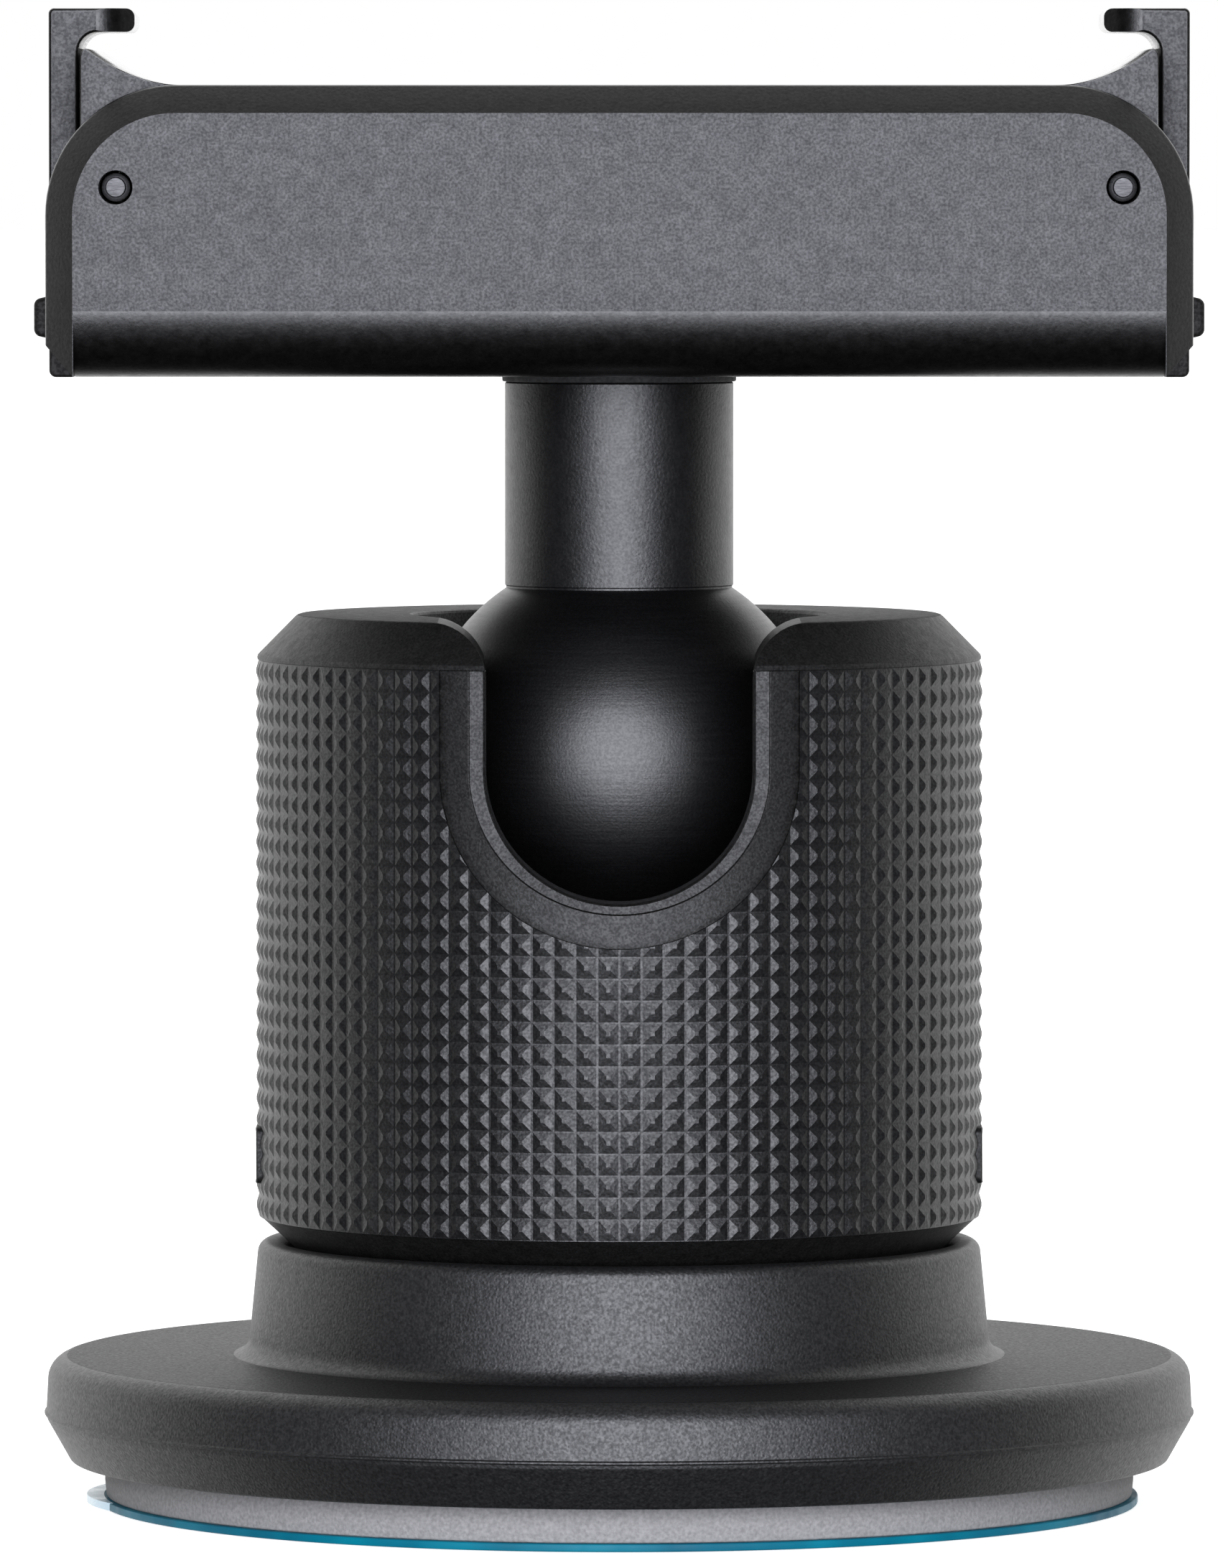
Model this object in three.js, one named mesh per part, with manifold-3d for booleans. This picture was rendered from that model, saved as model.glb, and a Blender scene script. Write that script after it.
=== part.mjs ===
// Ball-joint quick-release mount for a small camera: adhesive base, knurled locking sleeve, ball stud,
// and a head with two spring claws. Millimetres, +Z up, -Y is the front, where the sleeve's slot is.
import * as THREE from "three";
import { mergeVertices } from "three/addons/utils/BufferGeometryUtils.js";
import Module from "manifold-3d";

const wasm = await Module();
wasm.setup();

// ---- driving dimensions ----
const ROUND = 64; // segments of the large rounds
const SMALL = 32; // segments of the small rounds

const FILM_R = 18.9;
const FILM_TOP = 0.28;
const FILM_TAB_X = 19.4;
const PAD_R = 18.76;
const PAD_TOP = 1.6;

const DISC_R = 20.93; // widest line of the base disc
const DISC_RIM_Z = 3.3;
const DISC_TOP = 5.38;
const COLLAR_R = 13.14;
const COLLAR_BORE = 12.15;
const COLLAR_TOP = 9.55;
const COLLAR_FLOOR = 6.0;

const STUD_HEAD_R = 4.6;
const STUD_R = 3.1;
const STUD_TOP = 13.0;
const POST_R = 9.55;
const POST_TOP = 22.0;
const CUP_R = 6.8;
const CUP_FLOOR = 17.8;
const WASHER_T = 0.3;

const BALL_Z = 27.14;
const BALL_R = 7.41;
const SEAT_R = BALL_R + 0.06; // sphere of both seats
const NECK_R = 4.15;
const NECK_TOP = 40.8;

const GRIP_R = 13.2; // over the tips of the knurl
const GRIP_TOP = 32.35;
const GRIP_FLAT_R = 11.7;
const GRIP_EDGE_Z = 30.84;
const GRIP_FOOT_R = 11.8;
const GRIP_BORE = 11.0;
const MOUTH_R = 7.5;
const SLOT_HALF = 4.75;
const SLOT_Z = 27.1;
const SLOT_LIP_R = 2.0;
const SIDE_PAD_R = 13.34;
const SIDE_PAD_Z = [11.73, 13.76];
const SIDE_PAD_HALF = 2.2;
const CLAMP_BORE = POST_R + 0.1;

const HEAD_BOTTOM = 41.1;
const HEAD_TOP = 51.5;
const HEAD_HALF_X = 20.44;
const HEAD_HALF_Y = 11.0;
const HEAD_CORNER = 4.65;
const HEAD_BEVEL = 1.0;
const LOW_BEVEL = 2.1; // height of the large lower bevel on the front and back
const LOW_CUT_HALF_X = 19.42; // the lower bevel stops beside the side bevels
const TRAY_Z = 49.6;
const TRAY_HALF_X = 19.3;
const TRAY_HALF_Y = 9.5;
const LIP_TOP = 52.8;
const LIP_X = [15.9, 18.85]; // where the lips leave the flat top and where they reach their crest
const PAD_HALF_X = 15.2;
const PAD_HALF_Y = 8.4;
const PAD_T = 0.5;
const MAGNET_X = 9.6;
const MAGNET_R = 3.95;
const COVER_HALF_X = 14.4;
const COVER_HALF_Y = 8.5;
const COVER_SCREW = [13.4, 5.5];

const PIVOT_X = 17.9;
const PIVOT_Z = 47.86;
const PIN_R = 0.52;
const PIN_HOLE_R = 0.6;
const HUB_R = 1.55;
const CLAW_OUT = 20.57;
const CLAW_IN = 19.51; // half the width of the camera that the claws hold
const CLAW_BOTTOM = 41.0;
const CLAW_TOP = 54.3;
const CLAW_HALF_Y = 3.5;
const HOOK_TIP_X = 17.5;
const HOOK_T = 0.85;
const BUTTON_X = 21.15;
const BUTTON_Z = [42.4, 43.9];
const BUTTON_HALF_Y = 2.8;

// ---- solids from three.js geometry ----
function solid(geometry) {
  const g = geometry.index ? geometry.toNonIndexed() : geometry.clone();
  g.deleteAttribute("normal");
  g.deleteAttribute("uv");
  const merged = mergeVertices(g, 1e-4);
  const p = merged.attributes.position.array;
  const index = merged.index.array;
  const tris = [];
  let volume = 0;
  for (let i = 0; i < index.length; i += 3) {
    const [a, b, c] = [index[i], index[i + 1], index[i + 2]];
    if (a === b || b === c || a === c) continue;
    tris.push([a, b, c]);
    const va = new THREE.Vector3().fromArray(p, 3 * a);
    const vb = new THREE.Vector3().fromArray(p, 3 * b);
    const vc = new THREE.Vector3().fromArray(p, 3 * c);
    volume += va.dot(vb.cross(vc));
  }
  const flat = tris.flatMap((t) => (volume < 0 ? [t[0], t[2], t[1]] : t));
  return new wasm.Manifold(
    new wasm.Mesh({
      numProp: 3,
      vertProperties: new Float32Array(p),
      triVerts: new Uint32Array(flat),
    }),
  );
}

// A closed loop of [r, z] points turned about the Z axis.
function revolve(loop, segments = ROUND) {
  const points = [...loop, loop[0]].map(([r, z]) => new THREE.Vector2(r, z));
  return solid(new THREE.LatheGeometry(points, segments).rotateX(Math.PI / 2));
}

function rod(r, z0, z1, segments = SMALL, x = 0, y = 0) {
  const loop = [[0, z0], [r, z0], [r, z1], [0, z1]];
  return revolve(loop, segments).translate([x, y, 0]);
}

function rodY(r, x, z, y0, y1, segments = SMALL) {
  const g = new THREE.CylinderGeometry(r, r, y1 - y0, segments);
  return solid(g.translate(x, (y0 + y1) / 2, z));
}

function box(x0, x1, y0, y1, z0, z1) {
  const g = new THREE.BoxGeometry(x1 - x0, y1 - y0, z1 - z0);
  return solid(g.translate((x0 + x1) / 2, (y0 + y1) / 2, (z0 + z1) / 2));
}

// A polygon of [u, v] or [u, v, radius] corners, with its rounded corners sampled.
function outline(corners, steps = 6) {
  const out = [];
  corners.forEach(([u, v, r = 0], i) => {
    if (!r) {
      out.push([u, v]);
      return;
    }
    const here = new THREE.Vector2(u, v);
    const [pu, pv] = corners[(i + corners.length - 1) % corners.length];
    const [nu, nv] = corners[(i + 1) % corners.length];
    const back = new THREE.Vector2(pu, pv).sub(here).normalize();
    const ahead = new THREE.Vector2(nu, nv).sub(here).normalize();
    const half = Math.acos(THREE.MathUtils.clamp(back.dot(ahead), -1, 1)) / 2;
    const reach = r / Math.tan(half);
    const middle = back.clone().add(ahead).normalize().multiplyScalar(r / Math.sin(half)).add(here);
    const a = back.multiplyScalar(reach).add(here).sub(middle);
    const b = ahead.multiplyScalar(reach).add(here).sub(middle);
    let turn = b.angle() - a.angle();
    if (turn > Math.PI) turn -= 2 * Math.PI;
    if (turn < -Math.PI) turn += 2 * Math.PI;
    for (let k = 0; k <= steps; k += 1) {
      const at = a.angle() + (turn * k) / steps;
      out.push([middle.x + r * Math.cos(at), middle.y + r * Math.sin(at)]);
    }
  });
  return out;
}

function shapeOf(points) {
  return new THREE.Shape(points.map(([u, v]) => new THREE.Vector2(u, v)));
}

// An outline in X and Z, from y0 to y1.
function slabY(points, y0, y1) {
  const g = new THREE.ExtrudeGeometry(shapeOf(points), { depth: y1 - y0, bevelEnabled: false });
  return solid(g.rotateX(Math.PI / 2).translate(0, y1, 0));
}

// An outline in X and Y, from z0 to z1.
function slabZ(points, z0, z1) {
  const g = new THREE.ExtrudeGeometry(shapeOf(points), { depth: z1 - z0, bevelEnabled: false });
  return solid(g.translate(0, 0, z0));
}

// An outline in Y and Z, from x0 to x1.
function slabX(points, x0, x1) {
  const g = new THREE.ExtrudeGeometry(shapeOf(points), { depth: x1 - x0, bevelEnabled: false });
  return solid(g.rotateX(Math.PI / 2).rotateZ(Math.PI / 2).translate(x0, 0, 0));
}

function roundedRect(hx, hy, r) {
  return outline([[-hx, -hy, r], [hx, -hy, r], [hx, hy, r], [-hx, hy, r]]);
}

// Points on the seat sphere between two heights, as [r, z].
function seatArc(z0, z1, steps) {
  const out = [];
  for (let k = 0; k <= steps; k += 1) {
    const z = z0 + ((z1 - z0) * k) / steps;
    out.push([Math.sqrt(SEAT_R ** 2 - (z - BALL_Z) ** 2), z]);
  }
  return out;
}

// A round wire along a list of points, closed at both ends.
function wire(points, radius, sides = 8) {
  const rings = points.map((p, i) => {
    const a = points[Math.max(i - 1, 0)];
    const b = points[Math.min(i + 1, points.length - 1)];
    const along = b.clone().sub(a).normalize();
    const side = new THREE.Vector3(0, 1, 0).addScaledVector(along, -along.y).normalize();
    const other = along.clone().cross(side);
    return Array.from({ length: sides }, (_, k) => {
      const t = (2 * Math.PI * k) / sides;
      const s = side.clone().multiplyScalar(radius * Math.cos(t));
      return p.clone().add(s).addScaledVector(other, radius * Math.sin(t));
    });
  });
  const verts = [...rings.flat(), points[0], points[points.length - 1]];
  const index = [];
  const first = rings.length * sides;
  for (let i = 0; i < sides; i += 1) {
    const j = (i + 1) % sides;
    const last = (rings.length - 1) * sides;
    index.push(first, j, i, first + 1, last + i, last + j);
    for (let k = 0; k + 1 < rings.length; k += 1) {
      const [a, b] = [k * sides, (k + 1) * sides];
      index.push(a + i, a + j, b + i, a + j, b + j, b + i);
    }
  }
  const g = new THREE.BufferGeometry();
  g.setAttribute("position", new THREE.Float32BufferAttribute(verts.flatMap((v) => v.toArray()), 3));
  g.setIndex(index);
  return solid(g);
}

const mirrored = (s) => s.mirror([1, 0, 0]);

// ---- materials ----
const PAINTS = {
  film: [0x4f7f9c, 0.0, 0.35],
  foam: [0x7d7a79, 0.0, 0.9],
  moulded: [0x1e1e20, 0.0, 0.6],
  anodised: [0x17181a, 0.6, 0.4],
  satin: [0x101113, 0.5, 0.3],
  coated: [0x505256, 0.3, 0.5],
  steel: [0x8f9193, 1.0, 0.35],
  nylon: [0x1b1b1c, 0.0, 0.5],
  rubber: [0x161617, 0.0, 0.85],
  plated: [0xb8babd, 1.0, 0.2],
};

const group = new THREE.Group();
group.name = "ball_camera_mount";

function add(name, body, paint) {
  const mesh = body.getMesh();
  const g = new THREE.BufferGeometry();
  g.setAttribute("position", new THREE.BufferAttribute(new Float32Array(mesh.vertProperties), 3));
  g.setIndex(new THREE.BufferAttribute(new Uint32Array(mesh.triVerts), 1));
  g.computeVertexNormals();
  const [color, metalness, roughness] = PAINTS[paint];
  const material = new THREE.MeshStandardMaterial({ color, metalness, roughness, flatShading: true });
  material.name = paint;
  const out = new THREE.Mesh(g, material);
  out.name = name;
  group.add(out);
}

// ---- adhesive base ----
const tab = slabZ(roundedRect(1.4, 2.4, 0.8), 0, FILM_TOP).translate([1.4 - FILM_TAB_X, 0, 0]);
add("release_film", rod(FILM_R, 0, FILM_TOP, ROUND).add(tab), "film");
add("adhesive_pad", rod(PAD_R, FILM_TOP, PAD_TOP, ROUND), "foam");

const disc = revolve([
  [STUD_R + 0.1, 2.95],
  [STUD_HEAD_R + 0.2, 2.95],
  [STUD_HEAD_R + 0.2, PAD_TOP],
  [19.9, PAD_TOP],
  [20.05, 1.75],
  [20.8, 3.05],
  [DISC_R, DISC_RIM_Z],
  [20.85, 3.5],
  [20.78, 4.4],
  [20.55, 5.02],
  [20.05, DISC_TOP],
  [14.3, DISC_TOP],
  [13.8, 5.6],
  [13.52, 6.1],
  [13.4, 6.8],
  [COLLAR_R, 9.1],
  [12.96, 9.42],
  [12.65, COLLAR_TOP],
  [12.3, 9.42],
  [COLLAR_BORE, 9.1],
  [COLLAR_BORE, COLLAR_FLOOR],
  [STUD_R + 0.1, COLLAR_FLOOR],
]);
add("base_disc", disc, "moulded");

const hexSocket = (r, z0, z1) => rod(r, z0, z1, 6);
const stud = rod(STUD_HEAD_R, PAD_TOP + 0.1, 2.9).add(rod(STUD_R, 2.9, STUD_TOP)).subtract(hexSocket(1.8, 1, 2.4));
add("base_stud_screw", stud, "steel");

const post = revolve([
  [STUD_R + 0.05, COLLAR_FLOOR],
  [POST_R - 0.4, COLLAR_FLOOR],
  [POST_R, COLLAR_FLOOR + 0.4],
  [POST_R, POST_TOP - 0.4],
  [POST_R - 0.4, POST_TOP],
  [CUP_R, POST_TOP],
  [CUP_R, CUP_FLOOR],
  [0, CUP_FLOOR],
  [0, STUD_TOP + 0.5],
  [STUD_R + 0.05, STUD_TOP + 0.5],
]);
add("socket_post", post, "satin");
const thrust = [[3.2, CUP_FLOOR], [6.4, CUP_FLOOR], [6.4, CUP_FLOOR + WASHER_T], [3.2, CUP_FLOOR + WASHER_T]];
add("thrust_washer", revolve(thrust), "steel");

// ---- turning core ----
const cupLow = CUP_FLOOR + WASHER_T;
const lowerSeat = revolve([
  [2, cupLow],
  [CUP_R - 0.15, cupLow],
  [CUP_R - 0.15, 22.1],
  ...seatArc(22.1, 19.96, 5),
]);
add("lower_seat", lowerSeat, "nylon");

// ---- locking sleeve ----
// The slot's outline, open at the top, with its two upper corners rounded.
function slotCut(half, lip, back) {
  const points = [[half + lip, GRIP_TOP + 2]];
  for (let k = 0; k <= 6; k += 1) {
    const t = Math.PI / 2 + (k * Math.PI) / 12;
    points.push([half + lip + lip * Math.cos(t), GRIP_TOP - lip + lip * Math.sin(t)]);
  }
  for (let k = 0; k <= 24; k += 1) {
    const t = (-k * Math.PI) / 24;
    points.push([half * Math.cos(t), SLOT_Z + half * Math.sin(t)]);
  }
  for (let k = 0; k <= 6; k += 1) {
    const t = (k * Math.PI) / 12;
    points.push([-half - lip + lip * Math.cos(t), GRIP_TOP - lip + lip * Math.sin(t)]);
  }
  points.push([-half - lip, GRIP_TOP + 2]);
  return slabY(points, -GRIP_R - 2, back);
}

const padRing = revolve([
  [GRIP_R - 0.4, SIDE_PAD_Z[0]],
  [SIDE_PAD_R, SIDE_PAD_Z[0]],
  [SIDE_PAD_R, SIDE_PAD_Z[1]],
  [GRIP_R - 0.4, SIDE_PAD_Z[1]],
]);
const padWindow = box(-GRIP_R - 2, GRIP_R + 2, -SIDE_PAD_HALF, SIDE_PAD_HALF, 0, GRIP_TOP);
const grip = revolve([
  [GRIP_BORE, 6.6],
  [GRIP_FOOT_R, 6.6],
  [GRIP_FOOT_R, 9.3],
  [13.08, 10.5],
  [GRIP_R, 10.62],
  [GRIP_R, GRIP_EDGE_Z],
  [GRIP_FLAT_R, GRIP_TOP],
  [MOUTH_R, GRIP_TOP],
  [MOUTH_R, 31.0],
  [GRIP_BORE, 31.0],
])
  .add(padRing.intersect(padWindow))
  .subtract(slotCut(SLOT_HALF, SLOT_LIP_R, -2));
add("grip_sleeve", grip, "anodised");

const clamp = revolve([
  [CLAMP_BORE, 7.0],
  [GRIP_BORE - 0.05, 7.0],
  [GRIP_BORE - 0.05, 30.95],
  [8.35, 30.95],
  [8.35, 27.9],
  [7.75, 27.9],
  [7.75, 22.3],
  [CLAMP_BORE, 22.3],
]).subtract(slotCut(SLOT_HALF + 0.15, 0.4, -2));
add("clamp_sleeve", clamp, "satin");

const upperSeat = revolve([
  [8.3, 27.95],
  [8.3, 30.9],
  [6.95, 30.9],
  ...seatArc(30.6, 27.95, 4),
]).subtract(slotCut(SLOT_HALF + 0.15, 0.4, -2));
add("upper_seat", upperSeat, "nylon");

// ---- ball stud ----
const neckStart = BALL_Z + Math.sqrt(BALL_R ** 2 - NECK_R ** 2);
const ballLoop = [];
const ballTurn = Math.acos((neckStart - BALL_Z) / BALL_R);
for (let k = 0; k <= 18; k += 1) {
  const t = Math.PI - ((Math.PI - ballTurn) * k) / 18;
  ballLoop.push([BALL_R * Math.sin(t), BALL_Z + BALL_R * Math.cos(t)]);
}
ballLoop[0][0] = 0;
ballLoop.push([NECK_R, NECK_TOP], [1.95, NECK_TOP], [1.95, 33.5], [0, 33.5]);
add("ball_stud", revolve(ballLoop), "satin");
const neckRing = [[2.05, NECK_TOP], [NECK_R + 0.1, NECK_TOP], [NECK_R + 0.1, HEAD_BOTTOM], [2.05, HEAD_BOTTOM]];
add("neck_washer", revolve(neckRing), "rubber");
const headScrew = rod(1.9, 34, 45.25).add(rod(3.4, 45.25, 48.3)).subtract(hexSocket(1.6, 46.6, 49));
add("head_screw", headScrew, "steel");

// ---- head ----
const inset = outline([
  [-HEAD_HALF_X + HEAD_BEVEL, HEAD_BOTTOM + HEAD_BEVEL],
  [HEAD_HALF_X - HEAD_BEVEL, HEAD_BOTTOM + HEAD_BEVEL],
  [HEAD_HALF_X - HEAD_BEVEL, HEAD_TOP - HEAD_BEVEL, HEAD_CORNER - HEAD_BEVEL],
  [-HEAD_HALF_X + HEAD_BEVEL, HEAD_TOP - HEAD_BEVEL, HEAD_CORNER - HEAD_BEVEL],
]);
const bevelled = new THREE.ExtrudeGeometry(shapeOf(inset), {
  depth: 2 * (HEAD_HALF_Y - HEAD_BEVEL),
  bevelEnabled: true,
  bevelThickness: HEAD_BEVEL,
  bevelSize: HEAD_BEVEL,
  bevelSegments: 1,
});
let shell = solid(bevelled.rotateX(Math.PI / 2).translate(0, HEAD_HALF_Y - HEAD_BEVEL, 0));
const cornerCut = slabY([[19.4, 41.1], [21.4, 43.32], [21.4, 40.1], [18.5, 40.1]], -12, 12);
const lowCut = slabX(
  outline([
    [-HEAD_HALF_Y - 2, HEAD_BOTTOM - 1],
    [-HEAD_HALF_Y + 1.9, HEAD_BOTTOM - 1],
    [-HEAD_HALF_Y + 1.9, HEAD_BOTTOM],
    [-HEAD_HALF_Y + 0.85, HEAD_BOTTOM + 0.45],
    [-HEAD_HALF_Y + 0.25, HEAD_BOTTOM + 1.2],
    [-HEAD_HALF_Y, HEAD_BOTTOM + LOW_BEVEL],
    [-HEAD_HALF_Y - 2, HEAD_BOTTOM + LOW_BEVEL],
  ]),
  -LOW_CUT_HALF_X,
  LOW_CUT_HALF_X,
);
shell = shell.subtract(cornerCut).subtract(mirrored(cornerCut));
shell = shell.subtract(lowCut).subtract(lowCut.mirror([0, 1, 0]));
shell = shell.subtract(box(-22, 22, -TRAY_HALF_Y - 0.1, TRAY_HALF_Y + 0.1, TRAY_Z, 53));
for (const side of [-1, 1]) {
  const x = side * PIVOT_X;
  const pocket = box(Math.min(side * 16.2, side * 22), Math.max(side * 16.2, side * 22), -3.7, 3.7, 40, 50);
  shell = shell.subtract(pocket);
  shell = shell.subtract(rodY(1.45, x, PIVOT_Z, -3.6, 5.7, SMALL));
  shell = shell.subtract(rodY(PIN_HOLE_R, x, PIVOT_Z, -12, 12, 24));
  shell = shell.subtract(rod(MAGNET_R + 0.05, 46.4, 50, SMALL, side * MAGNET_X));
}
shell = shell.subtract(rod(2.05, 40, 46)).subtract(rod(3.6, 45.2, 50));
const boss = rod(5.2, 40, 46);
const coverWell = box(-COVER_HALF_X - 0.1, COVER_HALF_X + 0.1, -COVER_HALF_Y - 0.1, COVER_HALF_Y + 0.1, 40, 42.4);
const hollow = box(-12, 12, -7.4, 7.4, 42, 44.6);
shell = shell.subtract(coverWell.add(hollow).subtract(boss));
for (const sx of [-1, 1]) {
  for (const sy of [-1, 1]) {
    shell = shell.subtract(rod(0.62, 42, 45, 16, sx * COVER_SCREW[0], sy * COVER_SCREW[1]));
  }
}
add("head_shell", shell, "coated");

let cover = slabZ(roundedRect(COVER_HALF_X, COVER_HALF_Y, 0.8), 41.2, 42.35).subtract(rod(5.35, 40, 43));
for (const [i, sx] of [-1, 1].entries()) {
  for (const [j, sy] of [-1, 1].entries()) {
    const [x, y] = [sx * COVER_SCREW[0], sy * COVER_SCREW[1]];
    cover = cover.subtract(rod(0.68, 41, 43, 16, x, y)).subtract(rod(1.2, 41, 41.85, 24, x, y));
    const body = rod(1.1, 41.25, 41.85, 24, x, y).add(rod(0.58, 41.8, 44.6, 16, x, y));
    const cross = box(x - 0.75, x + 0.75, y - 0.14, y + 0.14, 41, 41.55);
    add(`cover_screw_${2 * i + j + 1}`, body.subtract(cross), "steel");
  }
}
add("bottom_cover", cover, "moulded");

// The tray's end lips curve up from its flat top to a rounded crest beside the claws.
const lip = [];
for (let k = 0; k <= 8; k += 1) {
  const t = k / 8;
  lip.push([LIP_X[0] + (LIP_X[1] - LIP_X[0]) * t, HEAD_TOP + (LIP_TOP - HEAD_TOP) * t ** 2]);
}
lip.push([19.1, LIP_TOP - 0.02]);
lip.push([19.25, LIP_TOP - 0.16]);
lip.push([TRAY_HALF_X, LIP_TOP - 0.4]);
lip.push([TRAY_HALF_X, TRAY_Z + 0.05]);
const trayLoop = [...lip, ...lip.map(([x, z]) => [-x, z]).reverse()];
const tray = slabY(trayLoop, -TRAY_HALF_Y, TRAY_HALF_Y).subtract(
  slabZ(roundedRect(PAD_HALF_X, PAD_HALF_Y, 2), HEAD_TOP - PAD_T, 54),
);
add("magnet_tray", tray, "coated");
add("seat_pad", slabZ(roundedRect(PAD_HALF_X, PAD_HALF_Y, 2), HEAD_TOP - PAD_T, HEAD_TOP), "rubber");

function hingePin(x) {
  const flat = 0.16;
  const loop = [
    [0, -10.95],
    [PIN_R - flat, -10.95],
    [PIN_R, -10.95 + flat],
    [PIN_R, 10.95 - flat],
    [PIN_R - flat, 10.95],
    [0, 10.95],
  ];
  return revolve(loop, 24).rotate([90, 0, 0]).translate([x, 0, PIVOT_Z]);
}

// A coil round the hinge pin that pushes the claw's hook inwards.
function clawSpring(x) {
  const points = [];
  for (let k = 0; k <= 64; k += 1) {
    const t = (2 * Math.PI * k) / 16;
    points.push(
      new THREE.Vector3(x + 0.98 * Math.cos(t), 3.95 + (1.5 * k) / 64, PIVOT_Z + 0.98 * Math.sin(t)),
    );
  }
  return wire(points, 0.13, 6);
}

function clawLever() {
  const hookLow = CLAW_TOP - HOOK_T;
  const arm = slabY(
    outline([
      [CLAW_IN, CLAW_BOTTOM, 0.25],
      [CLAW_OUT, CLAW_BOTTOM, 0.25],
      [CLAW_OUT, CLAW_TOP, 0.2],
      [HOOK_TIP_X, CLAW_TOP, 0.36],
      [HOOK_TIP_X, hookLow, 0.36],
      [CLAW_IN, hookLow, 0.73],
    ]),
    -CLAW_HALF_Y,
    CLAW_HALF_Y,
  );
  const taper = slabZ(
    [[22, -4], [22, 4], [18.4, 4], [18.4, 3.5], [17.4, 2.5], [17.4, -2.5], [18.4, -3.5], [18.4, -4]],
    52.6,
    55,
  );
  const keep = taper.add(box(19, 22, -4, 4, 40, 52.6));
  const web = box(PIVOT_X, CLAW_IN + 0.2, -CLAW_HALF_Y, CLAW_HALF_Y, PIVOT_Z - 1.4, PIVOT_Z + 1.4);
  const hub = rodY(HUB_R, PIVOT_X, PIVOT_Z, -CLAW_HALF_Y, CLAW_HALF_Y, SMALL);
  const bore = rodY(PIN_R + 0.05, PIVOT_X, PIVOT_Z, -5, 5, 24);
  return arm.intersect(keep).add(web).add(hub).subtract(bore);
}

function button() {
  return slabY(
    outline([
      [CLAW_OUT, BUTTON_Z[0]],
      [BUTTON_X, BUTTON_Z[0] + 0.25, 0.25],
      [BUTTON_X, BUTTON_Z[1] - 0.25, 0.25],
      [CLAW_OUT, BUTTON_Z[1]],
    ]),
    -BUTTON_HALF_Y,
    BUTTON_HALF_Y,
  );
}

for (const [name, side] of [["right", 1], ["left", -1]]) {
  const place = (s) => (side > 0 ? s : mirrored(s));
  add(`magnet_${name}`, rod(MAGNET_R, 46.45, 49.55, SMALL, side * MAGNET_X), "plated");
  add(`hinge_pin_${name}`, hingePin(side * PIVOT_X), "steel");
  add(`claw_spring_${name}`, place(clawSpring(PIVOT_X)), "steel");
  add(`claw_lever_${name}`, place(clawLever()), "satin");
  add(`release_button_${name}`, place(button()), "satin");
}

export default group;
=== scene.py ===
"""Looks for the ball-joint camera mount: high-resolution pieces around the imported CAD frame, their
procedural materials, a pale floor, soft light and the camera. Shapes are made in millimetres and scaled
to metres at the end, in the CAD's own frame: +Z up, -Y to the front."""
import math

import bmesh
import bpy
from mathutils import Matrix, Vector


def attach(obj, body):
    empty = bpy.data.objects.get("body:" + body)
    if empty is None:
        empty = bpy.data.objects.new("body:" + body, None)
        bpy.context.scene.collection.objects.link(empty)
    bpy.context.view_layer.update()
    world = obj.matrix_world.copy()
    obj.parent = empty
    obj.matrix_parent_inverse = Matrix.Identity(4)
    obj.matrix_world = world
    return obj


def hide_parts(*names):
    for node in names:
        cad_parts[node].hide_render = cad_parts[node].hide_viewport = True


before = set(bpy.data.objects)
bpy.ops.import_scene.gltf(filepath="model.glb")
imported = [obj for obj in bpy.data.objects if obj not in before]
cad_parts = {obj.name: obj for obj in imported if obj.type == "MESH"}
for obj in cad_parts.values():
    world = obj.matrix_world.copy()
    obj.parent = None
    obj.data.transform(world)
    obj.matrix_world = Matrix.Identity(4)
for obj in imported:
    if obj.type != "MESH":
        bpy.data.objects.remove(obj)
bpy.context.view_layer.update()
SCENE = bpy.context.scene
MM = 0.001

# ---- sizes, in millimetres; a few are tuned and differ slightly from the CAD source's ----
BALL_Z, BALL_R = 27.14, 7.41
NECK_R, NECK_TOP = 4.15, 40.8
GRIP_R, GRIP_TOP, GRIP_EDGE_Z, GRIP_FOOT = 13.2, 32.35, 30.84, 11.8
KNURL_LOW, KNURL_HIGH, KNURL_DEPTH = 10.47, 30.69, 0.085
SLOT_HALF, SLOT_Z, SLOT_LIP, SLOT_SQUASH = 4.75, 27.1, 2.0, 0.975
SLOT_BEVEL, SLOT_BORDER = 5.32, 6.41
BORDER_R = 13.12
MOUTH_R, GRIP_BORE, GRIP_CEILING, GRIP_LOW = 7.5, 11.0, 31.0, 6.6
SIDE_PAD_R, SIDE_PAD_LOW, SIDE_PAD_HIGH, SIDE_PAD_HALF = 13.34, 11.73, 13.76, 2.2
FILM_R, FILM_TOP, PAD_R, PAD_TOP, DISC_TOP = 18.9, 0.28, 18.76, 1.6, 5.38
OVERHANG_X, OVERHANG_R, OVERHANG_TURN = -9.9, 9.5, 0.455
DISC_R, COLLAR_R, COLLAR_TOP, COLLAR_BORE, COLLAR_FLOOR = 20.93, 13.12, 9.55, 12.15, 6.0
STUD_HOLE_R, STUD_SINK_R, STUD_SEAT_Z = 3.2, 4.8, 2.95
HEAD_X, HEAD_Y, HEAD_BOTTOM, HEAD_TOP = 20.44, 11.0, 41.1, 51.5
HEAD_CORNER_R, SHOULDER_X, SHOULDER_Z = 4.65, 19.4, 44.5
LOW_BEVEL, LOW_CUT_X, LOW_CURVE = 2.36, 19.42, 2.0
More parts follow.
